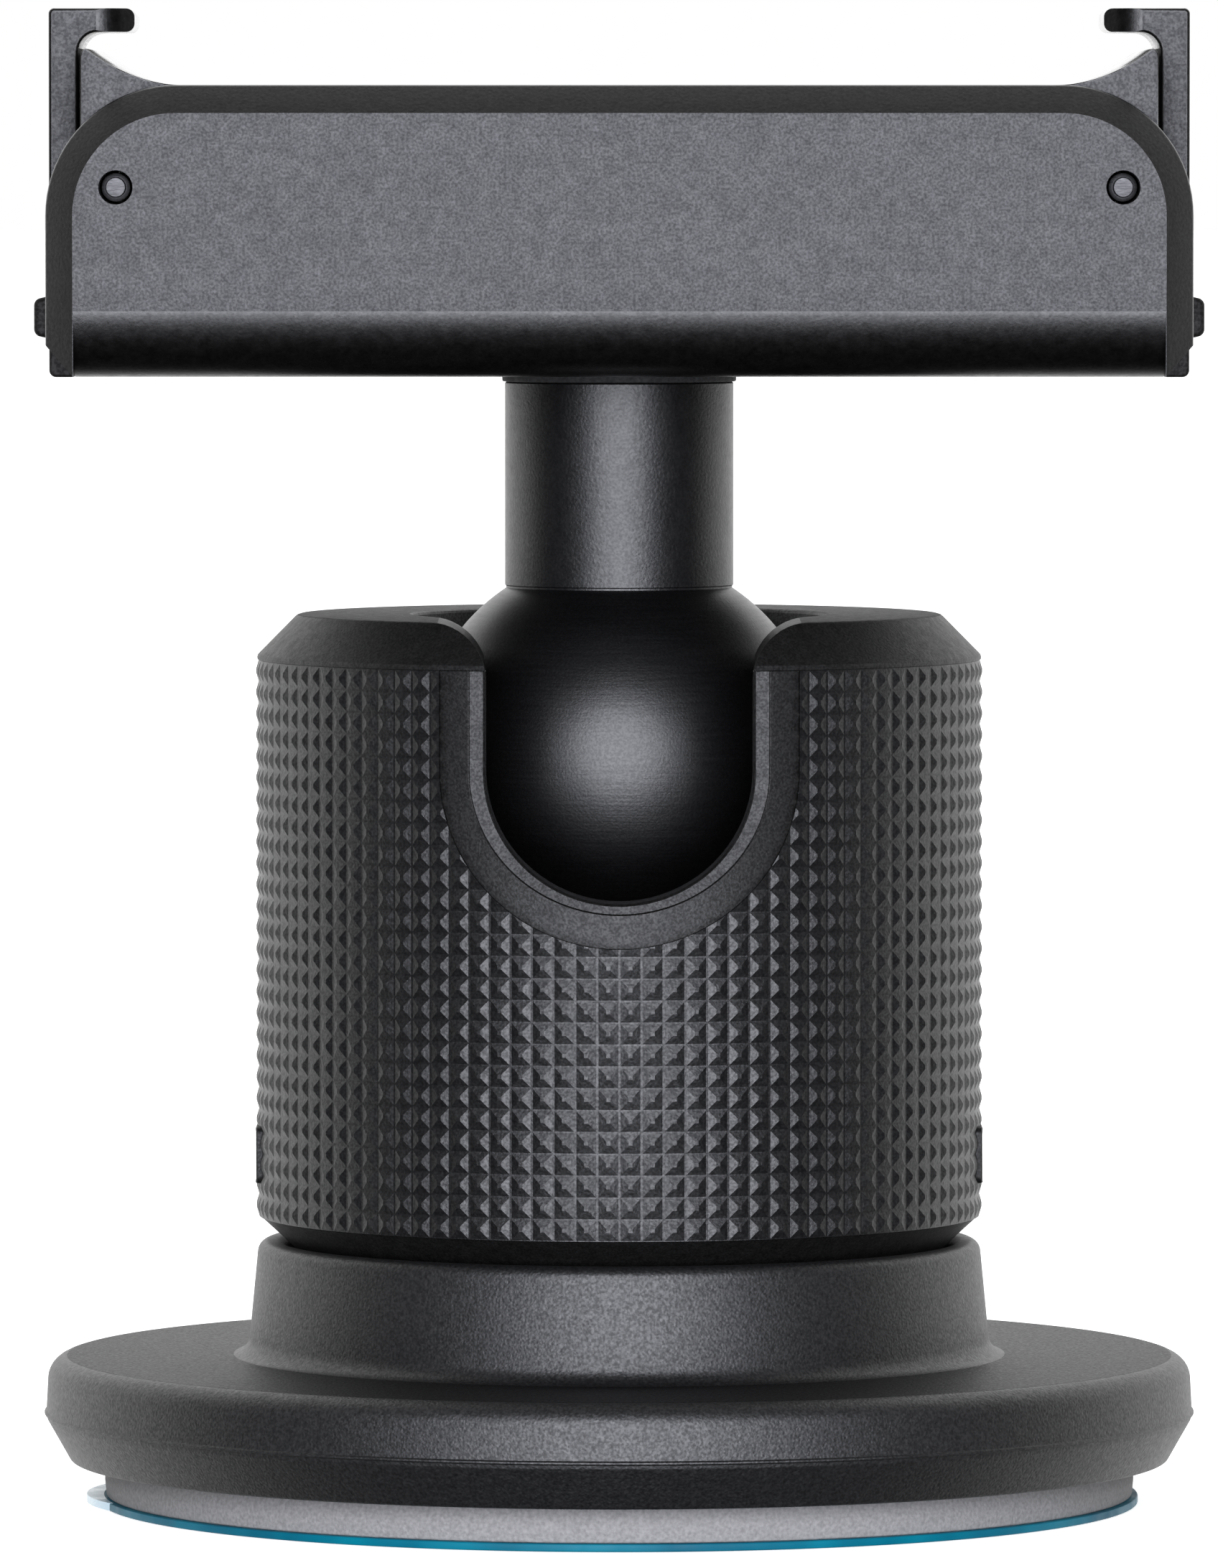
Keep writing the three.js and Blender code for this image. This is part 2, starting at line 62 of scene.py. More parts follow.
TRAY_X, TRAY_Y, TRAY_FLAT_X, TRAY_RISE = 19.2, 9.5, 15.5, 1.3
COVER_SCREWS = [(x, y) for x in (-13.4, 13.4) for y in (-5.5, 5.5)]
SEAT_X, SEAT_Y, SEAT_FLOOR = 15.2, 8.4, 51.0
COVER_X, COVER_Y, COVER_LOW, COVER_HIGH, COVER_HOLE_R = 14.4, 8.5, 41.2, 42.35, 5.35
MAGNET_X, MAGNET_LOW, TRAY_FLOOR, CLAW_BAY_X, CLAW_BAY_Y = 9.6, 46.4, 49.6, 16.2, 3.7
PIVOT_X, PIVOT_Z, HUB_R, PIN_END = 17.9, 47.86, 1.55, 10.95
CLAW_IN, CLAW_OUT, CLAW_LOW, CLAW_TOP, CLAW_SHADE_Z = 19.51, 20.57, 41.0, 54.3, 45.0
CLAW_Y, HOOK_TIP, HOOK_THICK = 3.5, 17.5, 0.85
BUTTON_IN, BUTTON_OUT, BUTTON_Y = 20.45, 21.15, 2.8


# ---- camera and light ----
def aimed(obj, target):
    obj.rotation_mode = "QUATERNION"
    obj.rotation_quaternion = (Vector(target) - obj.location).to_track_quat("-Z", "Y")


cam_data = bpy.data.cameras.new("camera")
cam_data.sensor_width = 36
cam_data.lens = 315.74
cam_data.clip_start, cam_data.clip_end = 0.01, 50
camera = bpy.data.objects.new("camera", cam_data)
SCENE.collection.objects.link(camera)
camera.location = Vector((-0.37, -500.0, 48.85)) * MM
camera.rotation_euler = (math.radians(90 - 2.60), 0, 0)
SCENE.camera = camera


def front_light():
    """One large round softbox straight in front, a little above the ball and aimed at it."""
    data = bpy.data.lights.new("front_soft", "AREA")
    data.shape = "DISK"
    data.size = 0.62
    data.energy = 8.7
    data.color = (0.95, 0.965, 1.05)
    obj = bpy.data.objects.new("front_soft", data)
    SCENE.collection.objects.link(obj)
    obj.location = (0.0, -0.62, 0.095)
    aimed(obj, (0, 0, 0.027))
    obj.visible_camera = False


front_light()

world = bpy.data.worlds.new("studio")
SCENE.world = world
world.use_nodes = True


# along an axis: where the change starts and ends, then the brightness there
WORLD_RAMPS = [
    ("Y", (-0.15, 0.45, 0.01, 2.0)),
    ("Z", (-1.0, -0.35, 0.05, 1.0)),
    ("Z", (0.3, 1.0, 1.0, 1.25)),
]


def studio_world(tree):
    """Bright behind the object, dim at its sides and overhead, dark in front and below. The camera itself
    sees plain white."""
    nodes, links = tree.nodes, tree.links
    nodes.clear()
    geo = nodes.new("ShaderNodeNewGeometry")
    split = nodes.new("ShaderNodeSeparateXYZ")
    links.new(geo.outputs["Position"], split.inputs[0])
    total = None
    for axis, ends in WORLD_RAMPS:
        ramp = nodes.new("ShaderNodeMapRange")
        ramp.interpolation_type = "SMOOTHSTEP"
        for key, number in zip(("From Min", "From Max", "To Min", "To Max"), ends):
            ramp.inputs[key].default_value = number
        links.new(split.outputs[axis], ramp.inputs["Value"])
        out = ramp.outputs[0]
        if total is not None:
            both = nodes.new("ShaderNodeMath")
            both.operation = "MULTIPLY"
            links.new(total, both.inputs[0])
            links.new(out, both.inputs[1])
            out = both.outputs[0]
        total = out
    lit = nodes.new("ShaderNodeBackground")
    links.new(total, lit.inputs["Strength"])
    seen = nodes.new("ShaderNodeBackground")
    seen.inputs["Color"].default_value = (1, 1, 1, 1)
    seen.inputs["Strength"].default_value = 1.0
    path = nodes.new("ShaderNodeLightPath")
    mix = nodes.new("ShaderNodeMixShader")
    links.new(path.outputs["Is Camera Ray"], mix.inputs[0])
    links.new(lit.outputs[0], mix.inputs[1])
    links.new(seen.outputs[0], mix.inputs[2])
    out = nodes.new("ShaderNodeOutputWorld")
    links.new(mix.outputs[0], out.inputs["Surface"])


studio_world(world.node_tree)
SCENE.view_settings.view_transform = "Standard"
SCENE.view_settings.look = "None"


# ---- shapes ----
def new_object(name, mesh):
    obj = bpy.data.objects.new(name, mesh)
    SCENE.collection.objects.link(obj)
    return obj


def from_lists(name, verts, faces):
    mesh = bpy.data.meshes.new(name)
    mesh.from_pydata([tuple(v) for v in verts], [], faces)
    bm = bmesh.new()
    bm.from_mesh(mesh)
    bmesh.ops.remove_doubles(bm, verts=bm.verts, dist=1e-5)
    bmesh.ops.recalc_face_normals(bm, faces=bm.faces)
    bm.to_mesh(mesh)
    bm.free()
    return new_object(name, mesh)


def rounded(corners, steps=8):
    """A closed outline from [u, v] or [u, v, radius] corners."""
    out = []
    count = len(corners)
    for i, corner in enumerate(corners):
        here = Vector(corner[:2])
        radius = corner[2] if len(corner) > 2 else 0
        if not radius:
            out.append(tuple(here))
            continue
        back = (Vector(corners[i - 1][:2]) - here).normalized()
        ahead = (Vector(corners[(i + 1) % count][:2]) - here).normalized()
        half = math.acos(max(-1, min(1, back.dot(ahead)))) / 2
        reach = radius / math.tan(half)
        middle = here + (back + ahead).normalized() * (radius / math.sin(half))
        a = here + back * reach - middle
        b = here + ahead * reach - middle
        start = math.atan2(a.y, a.x)
        turn = math.atan2(b.y, b.x) - start
        turn = (turn + math.pi) % (2 * math.pi) - math.pi
        for k in range(steps + 1):
            at = start + turn * k / steps
            out.append((middle.x + radius * math.cos(at), middle.y + radius * math.sin(at)))
    return out


def revolve(name, loop, segments=160):
    """A closed loop of (r, z) points turned about the Z axis. Points on the axis are single."""
    verts, rings = [], []
    for r, z in loop:
        if r < 1e-6:
            rings.append([len(verts)] * segments)
            verts.append((0, 0, z))
        else:
            start = len(verts)
            for k in range(segments):
                at = 2 * math.pi * k / segments
                verts.append((r * math.cos(at), r * math.sin(at), z))
            rings.append(list(range(start, start + segments)))
    faces = []
    for a, b in zip(rings, rings[1:] + rings[:1]):
        for k in range(segments):
            n = (k + 1) % segments
            face = list(dict.fromkeys((a[k], a[n], b[n], b[k])))
            if len(face) > 2:
                faces.append(face)
    return from_lists(name, verts, faces)


def loft(name, rings):
    """Rings of equally many points, joined one after the other and closed at both ends."""
    count = len(rings[0])
    verts = [p for ring in rings for p in ring]
    faces = []
    for i in range(len(rings) - 1):
        a, b = i * count, (i + 1) * count
        for k in range(count):
            n = (k + 1) % count
            faces.append((a + k, a + n, b + n, b + k))
    faces.append(tuple(range(count)))
    faces.append(tuple(range((len(rings) - 1) * count, len(rings) * count)))
    return from_lists(name, verts, faces)


def offset(outline, amount):
    """The closed outline moved inwards by amount, with mitred corners."""
    area = sum(a[0] * b[1] - b[0] * a[1] for a, b in zip(outline, outline[1:] + outline[:1]))
    sign = 1 if area > 0 else -1
    out = []
    for i, p in enumerate(outline):
        p = Vector(p)
        back = (p - Vector(outline[i - 1])).normalized()
        ahead = (Vector(outline[(i + 1) % len(outline)]) - p).normalized()
        n1 = Vector((-back.y, back.x)) * sign
        n2 = Vector((-ahead.y, ahead.x)) * sign
        mid = n1 + n2
        mid = mid / max(mid.length_squared, 1e-9) * 2
        out.append(tuple(p + mid * amount))
    return out


AXES = {
    "x": lambda u, v, w: (w, u, v),
    "y": lambda u, v, w: (u, w, v),
    "z": lambda u, v, w: (u, v, w),
}


def slab(name, outline, low, high, axis="z", edge=0.0, steps=4):
    """An outline from low to high along an axis, with its two rims rounded to radius edge."""
    place = AXES[axis]
    rings = []
    if edge:
        for k in range(steps + 1):
            at = math.pi / 2 * k / steps
            ring = offset(outline, edge * (1 - math.sin(at)))
            rings.append([place(u, v, low + edge * (1 - math.cos(at))) for u, v in ring])
        for k in range(steps + 1):
            at = math.pi / 2 * (1 - k / steps)
            ring = offset(outline, edge * (1 - math.sin(at)))
            rings.append([place(u, v, high - edge * (1 - math.cos(at))) for u, v in ring])
    else:
        rings = [[place(u, v, w) for u, v in outline] for w in (low, high)]
    return loft(name, rings)


def circle(r, u=0.0, v=0.0, steps=48):
    turn = [2 * math.pi * k / steps for k in range(steps)]
    return [(u + r * math.cos(t), v + r * math.sin(t)) for t in turn]


def rect(hu, hv, r, steps=8):
    return rounded([(-hu, -hv, r), (hu, -hv, r), (hu, hv, r), (-hu, hv, r)], steps)


def box(name, x0, x1, y0, y1, z0, z1):
    return slab(name, [(x0, y0), (x1, y0), (x1, y1), (x0, y1)], z0, z1)


def combine(obj, others, operation="DIFFERENCE"):
    """Boolean with closed meshes, applied one after the other. The others are removed."""
    for other in others:
        mod = obj.modifiers.new("cut", "BOOLEAN")
        mod.operation = operation
        mod.solver = "MANIFOLD"
        mod.object = other
        applied(obj)
        data = other.data
        bpy.data.objects.remove(other)
        bpy.data.meshes.remove(data)
    return obj


def applied(obj):
    graph = bpy.context.evaluated_depsgraph_get()
    graph.update()
    mesh = bpy.data.meshes.new_from_object(obj.evaluated_get(graph))
    old = obj.data
    obj.modifiers.clear()
    obj.data = mesh
    bpy.data.meshes.remove(old)
    return obj


def placed(obj, body, nodes, materials, smooth=32.0, pick=None):
    """Scales a finished piece to metres, shades it, and ties it to its body, slot and CAD nodes."""
    mesh = obj.data
    mesh.materials.clear()
    for material in materials:
        mesh.materials.append(material)
    for face in mesh.polygons:
        face.use_smooth = True
        face.material_index = pick(face) if pick else 0
    mesh.set_sharp_from_angle(angle=math.radians(smooth))
    mesh.transform(Matrix.Scale(MM, 4))
    mesh.update()
    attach(obj, body)
    if nodes:
        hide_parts(*nodes)
    return obj


# ---- materials ----
class Paint:
    """A Principled material whose colour, roughness and bump come from nodes. Scales are per millimetre."""

    def __init__(self, name, colour, roughness, metallic=0.0, specular=0.5):
        self.material = bpy.data.materials.new(name)
        self.material.use_nodes = True
        self.tree = self.material.node_tree
        self.shader = self.tree.nodes["Principled BSDF"]
        self.shader.inputs["Base Color"].default_value = (*colour, 1)
        self.shader.inputs["Roughness"].default_value = roughness
        self.shader.inputs["Metallic"].default_value = metallic
        self.shader.inputs["Specular IOR Level"].default_value = specular
        coords = self.tree.nodes.new("ShaderNodeTexCoord")
        scale = self.tree.nodes.new("ShaderNodeVectorMath")
        scale.operation = "SCALE"
        scale.inputs["Scale"].default_value = 1 / MM
        self.tree.links.new(coords.outputs["Object"], scale.inputs[0])
        self.place = scale.outputs[0]
        self.height = None

    def node(self, kind, **values):
        made = self.tree.nodes.new(kind)
        for key, value in values.items():
            if hasattr(made, key):
                setattr(made, key, value)
            else:
                made.inputs[key.replace("_", " ")].default_value = value
        return made

    def link(self, a, b):
        self.tree.links.new(a, b)

    def noise(self, scale, detail=3.0, stretch=(1, 1, 1)):
        move = self.node("ShaderNodeMapping")
        move.inputs["Scale"].default_value = stretch
        self.link(self.place, move.inputs["Vector"])
        made = self.node("ShaderNodeTexNoise", Scale=scale, Detail=detail)
        self.link(move.outputs[0], made.inputs["Vector"])
        return made.outputs["Fac"]

    def cells(self, scale):
        made = self.node("ShaderNodeTexVoronoi", Scale=scale)
        self.link(self.place, made.inputs["Vector"])
        return made.outputs["Distance"]

    def ranged(self, value, low, high, low_in=0.3, high_in=0.7):
        made = self.node("ShaderNodeMapRange")
        for key, number in zip(("From Min", "From Max", "To Min", "To Max"), (low_in, high_in, low, high)):
            made.inputs[key].default_value = number
        self.link(value, made.inputs["Value"])
        return made.outputs[0]

    def tint(self, value, dark, light):
        """The base colour runs between two colours with value."""
        ramp = self.node("ShaderNodeMix", data_type="RGBA")
        self.link(self.ranged(value, 0, 1), ramp.inputs[0])
        ramp.inputs[6].default_value = (*dark, 1)
        ramp.inputs[7].default_value = (*light, 1)
        self.link(ramp.outputs[2], self.shader.inputs["Base Color"])
        return self

    def rough(self, value, low, high):
        self.link(self.ranged(value, low, high), self.shader.inputs["Roughness"])
        return self

    def glint(self, value, low, high):
        """Grains that shine more and less than the rest."""
        self.link(self.ranged(value, low, high, 0.38, 0.62), self.shader.inputs["Specular IOR Level"])
        return self

    def bump(self, value, depth):
        """Adds to the height: value is 0 to 1 and depth is in millimetres."""
        size = self.node("ShaderNodeMath", operation="MULTIPLY")
        self.link(value, size.inputs[0])
        size.inputs[1].default_value = depth * MM
        out = size.outputs[0]
        if self.height is not None:
            total = self.node("ShaderNodeMath", operation="ADD")
            self.link(self.height, total.inputs[0])
            self.link(out, total.inputs[1])
            out = total.outputs[0]
        self.height = out
        made = next((n for n in self.tree.nodes if n.type == "BUMP"), None) or self.node("ShaderNodeBump")
        made.inputs["Distance"].default_value = 1.0
        made.inputs["Strength"].default_value = 1.0
        self.link(out, made.inputs["Height"])
        self.link(made.outputs[0], self.shader.inputs["Normal"])
        return self


def anodised(name, dark, light, rough_low, rough_high, grain=9.0, depth=0.012, shine=0.5, speck=0.1):
    """A fine blasted grain with glinting specks and a small change of colour, dark or pale, hard or soft."""
    p = Paint(name, dark, rough_low)
    p.tint(p.noise(grain, 3.0), dark, light)
    p.rough(p.noise(2.5, 3.0), rough_low, rough_high)
    p.glint(p.noise(grain * 1.1, 1.0), shine - speck, shine + speck)
    p.bump(p.noise(grain, 4.0), depth)
    return p.material


def moulded(name, rough_low, rough_high, shine_low, shine_high):
    p = Paint(name, (0.003, 0.003, 0.003), 0.5)
    p.tint(p.noise(8.0, 4.0), (0.0005, 0.0005, 0.0006), (0.005, 0.005, 0.0053))
    p.rough(p.noise(6.0, 3.0), rough_low, rough_high)
    p.glint(p.noise(9.5, 1.0), shine_low, shine_high)
    p.bump(p.ranged(p.cells(9.0), 0, 1, 0.0, 0.75), 0.006)
    p.bump(p.noise(11.0, 3.0), 0.009)
    return p.material


def foam():
    p = Paint("acrylic_foam", (0.2, 0.2, 0.2), 0.9, 0.0, 0.25)
    p.tint(p.noise(8.0, 4.0), (0.18, 0.178, 0.176), (0.27, 0.267, 0.263))
    p.rough(p.noise(5.0), 0.85, 1.0)
    p.bump(p.noise(9.0, 5.0), 0.03)
    return p.material


def film(name, dark, light, rough_low, rough_high, specular):
    p = Paint(name, dark, rough_low, 0.0, specular)
    p.tint(p.noise(0.35, 2.0), dark, light)
    p.rough(p.noise(1.2), rough_low, rough_high)
    p.bump(p.noise(0.5, 2.0), 0.02)
    return p.material


def turned():
    """The ball: very fine turning lines about its own axis under a satin anodised skin."""
    p = Paint("turned_ball", (0.003, 0.003, 0.0033), 0.38)
    lines = p.noise(1.0, 3.0, (0.5, 0.5, 13.0))
    p.tint(p.noise(7.0, 4.0), (0.0003, 0.0003, 0.0004), (0.0012, 0.0012, 0.0014))
    p.rough(lines, 0.35, 0.4)
    p.glint(p.noise(12.0, 1.0), 0.45, 0.59)
    p.bump(lines, 0.004)
    p.bump(p.noise(12.0, 3.0), 0.006)
    return p.material


def brushed(name, colour, roughness):
    """Bare or plated metal with fine lines round its upright axis."""
    p = Paint(name, colour, roughness, 1.0)
    p.tint(p.noise(2.0, 3.0), tuple(c * 0.85 for c in colour), tuple(min(1, c * 1.1) for c in colour))
    p.rough(p.noise(3.0, 4.0, (1, 1, 8)), roughness * 0.8, roughness * 1.25)
    p.bump(p.noise(9.0, 3.0, (1, 1, 5)), 0.004)
    return p.material


MOULDED = moulded("moulded_grain", 0.45, 0.56, 0.46, 0.78)
MOULDED_TOP = moulded("moulded_top", 0.48, 0.58, 0.1, 0.28)
FOAM = foam()
FILM = film("release_film", (0.0, 0.08, 0.13), (0.0, 0.14, 0.2), 0.4, 0.55, 0.12)
FILM_EDGE = film("film_overhang", (0.45, 0.64, 0.74), (0.6, 0.76, 0.83), 0.25, 0.35, 0.4)
TURNED = turned()
NECK = anodised("blasted_neck", (0.0006, 0.0006, 0.0008), (0.002, 0.002, 0.0024), 0.38, 0.43, speck=0.07)
KNURL = anodised(
    "knurled_anodised", (0.0006, 0.0006, 0.0008), (0.003, 0.003, 0.0034), 0.4, 0.48, speck=0.14
)
SLEEVE = anodised(
    "sleeve_anodised", (0.0006, 0.0006, 0.0006), (0.003, 0.0028, 0.0026), 0.48, 0.58, 10.0, 0.012, 0.42, 0.12
)
# A dark brownish matt finish for the sleeve top and the tray's ends. On the claws' lower ends and the release
# buttons its darker colour is painted shade.
MATT_AND_SHADE = anodised(
    "matt_and_painted_shade", (0.002, 0.0016, 0.0014), (0.006, 0.0052, 0.0048), 0.6, 0.72, 8.0, 0.014, 0.32, 0.12
)
COAT = anodised("head_coat", (0.004, 0.004, 0.005), (0.03, 0.03, 0.034), 0.46, 0.54, 9.5, 0.012, 0.44, 0.13)
EDGE = anodised(
    "head_edge", (0.0005, 0.0004, 0.0004), (0.0015, 0.0013, 0.0012), 0.3, 0.38, 8.0, 0.005, 0.52, 0.06
)
SHINE = anodised(
    "worn_edge", (0.002, 0.0016, 0.0015), (0.006, 0.005, 0.005), 0.14, 0.22, 8.0, 0.001, 0.5, 0.05
)
RUBBER = anodised("soft_rubber", (0.012, 0.012, 0.012), (0.022, 0.022, 0.022), 0.7, 0.85, 6.0, 0.02, 0.3, 0.1)
SCREWS = brushed("plain_steel", (0.5, 0.5, 0.51), 0.35)
PIN = brushed("pin_steel", (0.06, 0.06, 0.062), 0.45)
NICKEL = brushed("nickel", (0.66, 0.65, 0.62), 0.22)
NYLON = anodised("black_nylon", (0.006, 0.006, 0.006), (0.012, 0.012, 0.012), 0.5, 0.6, 5.0, 0.01, 0.3, 0.05)


# ---- base ----
def base_pieces():
    rim = rounded(
        [
            (STUD_HOLE_R, STUD_SEAT_Z),
            (STUD_SINK_R, STUD_SEAT_Z),
            (STUD_SINK_R, PAD_TOP, 0.1),
            (DISC_R - 0.95, PAD_TOP, 0.15),
            (DISC_R - 0.1, 3.1, 0.3),
            (DISC_R - 0.07, 3.24, 0.03),
            (DISC_R, 3.27, 0.03),
            (DISC_R, 3.34, 0.03),
            (DISC_R - 0.07, 3.38, 0.04),
            (DISC_R - 0.17, DISC_TOP, 0.85),
            (COLLAR_R + 0.4, DISC_TOP, 0.72),
            (COLLAR_R, COLLAR_TOP, 0.42),
            (COLLAR_BORE, COLLAR_TOP, 0.35),
            (COLLAR_BORE, COLLAR_FLOOR, 0.2),
            (STUD_HOLE_R, COLLAR_FLOOR),
        ],
        8,
    )

    def pick(face):
        return 1 if face.normal.z > 0.98 and face.center.z < DISC_TOP + 0.1 else 0

    disc = revolve("base_disc_skin", rim, 224)
    placed(disc, "base", ["base_disc"], [MOULDED, MOULDED_TOP], 40, pick)
    edge = [
        (0, FILM_TOP),
        (PAD_R - 0.06, FILM_TOP, 0.1),
        (PAD_R, 0.9, 0.6),
        (PAD_R - 0.1, PAD_TOP, 0.1),
        (0, PAD_TOP),
    ]
    pad = revolve("adhesive_pad_skin", rounded(edge, 4), 300)
    for v in pad.data.vertices:
        r = math.hypot(v.co.x, v.co.y)
        if r > 18:
            at = math.atan2(v.co.y, v.co.x)
            rough = sum(math.sin(n * at + n * n) / n for n in (7, 19, 43, 97)) * 0.12
            pull = 1 - 0.0022 * (0.5 + rough)
            v.co *= Vector((pull, pull, 1))
    placed(pad, "base", ["adhesive_pad"], [FOAM], 50)
    film_disc = slab("release_film_skin", circle(FILM_R, 0, 0, 240), 0, FILM_TOP, "z", 0.05, 3)
    placed(film_disc, "base", ["release_film"], [FILM])
    turns = [OVERHANG_TURN * (k / 24 - 1) for k in range(49)]
    outer = [(OVERHANG_X - OVERHANG_R * math.cos(t), OVERHANG_R * math.sin(t)) for t in turns]
    inner = []
    for x, y in reversed(outer):
        shrink = (PAD_R + 0.01) / math.hypot(x, y)
        inner.append((x * shrink, y * shrink))
    overhang = slab("release_film_edge", outer + inner, 0.02, FILM_TOP + 0.01)
    placed(overhang, "base", [], [FILM_EDGE])


# ---- sleeve ----
def slot_outline(steps=40):
    """The slot as a closed outline in X and Z, open-topped past the sleeve, its upper corners rounded."""
    far = SLOT_HALF + SLOT_LIP
    low = GRIP_TOP - SLOT_LIP
    quarter = [math.pi / 2 * k / 12 for k in range(13)]
    out = [(far, GRIP_TOP + 2)]
    out += [(far - SLOT_LIP * math.sin(t), low + SLOT_LIP * math.cos(t)) for t in quarter]
    out += [
        (SLOT_HALF * math.cos(t), SLOT_Z - SLOT_SQUASH * SLOT_HALF * math.sin(t))
        for t in [math.pi * k / steps for k in range(steps + 1)]
    ]
    out += [(-far + SLOT_LIP * math.cos(t), low + SLOT_LIP * math.sin(t)) for t in quarter]
    out.append((-far, GRIP_TOP + 2))
    return out


def knurled_sleeve():
    """A closed sleeve whose outer wall is a grid of small four-sided pyramids with blunt tips. Each cell
    of the grid is five points wide and five high: a gap, a slope, the tip, a slope and a gap."""
    columns, rows = 105, 26
    tip, valley = GRIP_R, GRIP_R - KNURL_DEPTH
    pitch_z = (KNURL_HIGH - KNURL_LOW) / rows
    step = 2 * math.pi / columns
    gap_u, gap_v, flat = 0.05, 0.032, 0.41
    us = [0, gap_u, flat, 1 - flat, 1 - gap_u]
    vs = [0, gap_v, flat, 1 - flat, 1 - gap_v]
    verts, index = [], {}

    def vert(key, r, at, z):
        if key not in index:
            index[key] = len(verts)
            verts.append((r * math.cos(at), r * math.sin(at), z))
        return index[key]

    def radius(a, b):
        high = a in (2, 3) and b in (2, 3)
        return tip if high else valley

    levels = []
    for j in range(rows):
        levels += [(j, b) for b in range(5)]
    levels.append((rows, 0))
    faces = []

    def corner(i, a, j, b):
        i = i % columns
        z = KNURL_LOW + (j + vs[b]) * pitch_z
        return vert((i, a, j, b), radius(a, b), (i + us[a]) * step - math.pi / 2, z)

    def after(i, a):
        return (i, a + 1) if a < 4 else (i + 1, 0)

    for i in range(columns):
        for a in range(5):
            i2, a2 = after(i, a)
            for (j, b), (j2, b2) in zip(levels, levels[1:]):
                quad = [corner(i, a, j, b), corner(i2, a2, j, b)]
                quad += [corner(i2, a2, j2, b2), corner(i, a, j2, b2)]
                # a corner of the pyramid is split along its ridge, so that both halves are flat
                if (a, b) in ((1, 1), (3, 3)):
                    faces += [(quad[0], quad[1], quad[2]), (quad[0], quad[2], quad[3])]
                elif (a, b) in ((1, 3), (3, 1)):
                    faces += [(quad[0], quad[1], quad[3]), (quad[1], quad[2], quad[3])]
                else:
                    faces.append(tuple(quad))
    # the smooth rings below, above and inside, with the same points round the sleeve
    around = [(i + us[a]) * step - math.pi / 2 for i in range(columns) for a in range(5)]
    profile = [
        (valley, KNURL_HIGH),
        (GRIP_R - 0.05, KNURL_HIGH + 0.03),
        (GRIP_R - 0.04, GRIP_EDGE_Z - 0.04),
        (GRIP_R - 0.07, GRIP_EDGE_Z + 0.05),
        (11.78, 32.26),
        (11.70, 32.32),
        (11.6, GRIP_TOP),
        (MOUTH_R + 0.12, GRIP_TOP),
        (MOUTH_R + 0.03, GRIP_TOP - 0.04),
        (MOUTH_R, GRIP_TOP - 0.12),
        (MOUTH_R, GRIP_CEILING),
        (GRIP_BORE, GRIP_CEILING),
        (GRIP_BORE, GRIP_LOW),
        (GRIP_FOOT - 0.1, GRIP_LOW),
        (GRIP_FOOT, GRIP_LOW + 0.1),
        (GRIP_FOOT, 9.24),
        (GRIP_FOOT + 0.03, 9.33),
        (13.03, 10.43),
        (valley, KNURL_LOW),
    ]
    top = [corner(k // 5, k % 5, rows, 0) for k in range(columns * 5)]
    bottom = [corner(k // 5, k % 5, 0, 0) for k in range(columns * 5)]
    rings = [top]
    for n, (r, z) in enumerate(profile[1:-1]):
        rings.append([vert(("ring", n, k), r, at, z) for k, at in enumerate(around)])
    rings.append(bottom)
    for a, b in zip(rings, rings[1:]):
        for k in range(len(around)):
            n = (k + 1) % len(around)
            faces.append((a[k], a[n], b[n], b[k]))
    return from_lists("grip_sleeve_skin", verts, faces)


def on_cylinder(x, r):
    return -math.sqrt(max(r * r - x * x, 0.0))


def u_path(steps=60):
    """Steps along the slot's edge: centre height, outward x, outward z."""
    path = []
    for k in range(9):
        path.append((KNURL_HIGH - (KNURL_HIGH - SLOT_Z) * k / 9, 1.0, 0.0))
    for k in range(steps + 1):
        t = math.pi * k / steps
        path.append((SLOT_Z, math.cos(t), -math.sin(t)))
    for k in range(1, 10):
        path.append((SLOT_Z + (KNURL_HIGH - SLOT_Z) * k / 9, -1.0, 0.0))
    return path


def slot_frame():
    """The smooth border round the slot. The bevel on its inner edge narrows towards the bottom."""
    rings = []
    for cz, ox, oz in u_path():
        low = oz * oz
        bevel = SLOT_BEVEL - 0.2 * low
        sunk = 0.18 - 0.11 * low
        line = 0.03 + 0.04 * low
        section = [
            (SLOT_HALF, 12.2),
            (SLOT_HALF, BORDER_R - sunk - 0.22),
            (SLOT_HALF + 0.01, BORDER_R - sunk - 0.14),
            (SLOT_HALF + 0.04, BORDER_R - sunk - 0.06),
            (SLOT_HALF + 0.1, BORDER_R - sunk),
            (bevel, BORDER_R - 0.02),
            (bevel + 0.03, BORDER_R - line),
            (bevel + 0.06, BORDER_R - 0.01),
            (5.7, BORDER_R),
            (6.1, BORDER_R),
            (SLOT_BORDER - 0.06, BORDER_R),
            (SLOT_BORDER - 0.02, BORDER_R - 0.01),
            (SLOT_BORDER, BORDER_R - 0.04),
            (SLOT_BORDER, 12.2),
        ]
        ring = []
        for d, r in section:
            ring.append((ox * d, on_cylinder(ox * d, r), cz + SLOT_SQUASH * oz * d))
        rings.append(ring)
    return loft("slot_frame_skin", rings)


